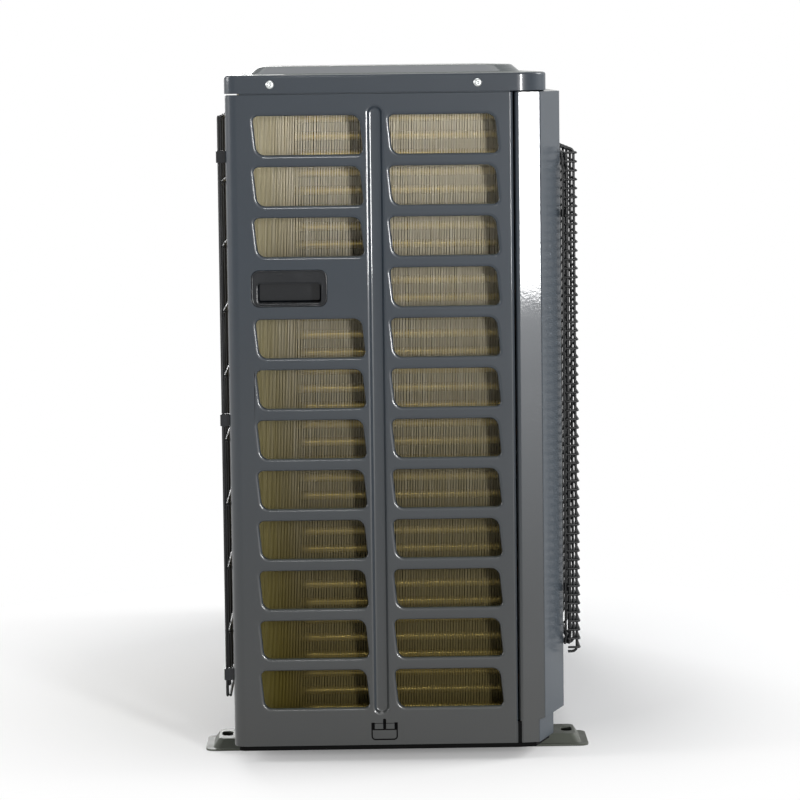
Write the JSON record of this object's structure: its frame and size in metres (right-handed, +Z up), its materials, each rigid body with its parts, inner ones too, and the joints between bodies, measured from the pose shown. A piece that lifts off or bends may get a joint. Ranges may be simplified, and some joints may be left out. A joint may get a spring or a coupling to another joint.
{
  "type": "heat pump outdoor unit",
  "caption": "Outdoor unit of a split heat pump: a steel cabinet on foot rails with a slotted end panel, a finned coil, an axial fan behind a wire guard and flare service valves.",
  "frame": {"origin": "On the floor under the middle of the overall box: halfway between the coil-end panel and the outer face of the valve cover, and halfway along the foot rails.", "axes": "+Z is up. -Y is the front, where the fan blows out. +X points from the slotted coil end to the valve end, to the right as seen from the front."},
  "size_m": [0.9632, 0.394, 0.7],
  "materials": {
    "casing_paint": "semi-gloss",
    "zinc_steel": "galvanised, matt",
    "coated_fins": "epoxy-coated fins, satin",
    "copper": "drawn copper pipe",
    "valve_brass": "machined",
    "guard_coating": "plastic-coated wire, satin",
    "black_plastic": "moulded, fine grain",
    "black_enamel": "black enamel",
    "grommet_rubber": "moulded rubber",
    "board": "solder mask",
    "component_case": "sleeved components",
    "bare_aluminium": "extruded"
  },
  "bodies": {
    "casing": {"accumulator": "black_enamel", "accumulator_strap": "zinc_steel", "base_pan": "black_enamel", "capacitors": "component_case", "circuit_board": "board", "coil_fins": "coated_fins", "coil_front_plate": "zinc_steel", "coil_gas_line": "copper", "coil_hairpins": "copper", "coil_inner_plate": "zinc_steel", "coil_liquid_line": "copper", "coil_return_bends": "copper", "compressor_foot_plate": "zinc_steel", "compressor_grommets": "grommet_rubber", "compressor_nuts": "zinc_steel", "compressor_shell": "black_enamel", "cover_screws": "zinc_steel", "discharge_line": "copper", "electrical_tray": "zinc_steel", "expansion_coil": "black_plastic", "expansion_valve": "valve_brass", "fan_guard": "guard_coating", "fan_motor": "black_plastic", "fan_shroud": "casing_paint", "filter_coil": "component_case", "four_way_valve": "valve_brass", "front_panel": "casing_paint", "gas_header": "copper", "gas_line": "copper", "gas_valve": "valve_brass", "gas_valve_cap": "valve_brass", "guard_clips": "black_plastic", "heat_sink": "bare_aluminium", "left_foot_rail": "casing_paint", "left_grip": "black_plastic", "left_side_panel": "casing_paint", "liquid_header": "copper", "liquid_line": "copper", "liquid_valve": "valve_brass", "liquid_valve_cap": "valve_brass", "motor_bracket": "zinc_steel", "partition": "zinc_steel", "rear_guard": "guard_coating", "reversing_coil": "black_plastic", "right_foot_rail": "casing_paint", "right_grip": "black_plastic", "right_side_panel": "casing_paint", "service_panel": "casing_paint", "suction_elbow": "copper", "suction_line": "copper", "terminal_block": "black_plastic", "terminal_cover": "black_plastic", "top_cover": "casing_paint", "valve_bracket": "zinc_steel", "valve_cover": "black_plastic"},
    "fan": {"axial_fan": "black_plastic", "fan_shaft": "zinc_steel", "fan_nut": "zinc_steel"}
  },
  "joints": [
    {"name": "fan_spin", "type": "hinge", "parent": "casing", "child": "fan", "pos_m": [-0.16, -0.1, 0.3562], "axis": [0, -1, 0], "continuous": true}
  ]
}
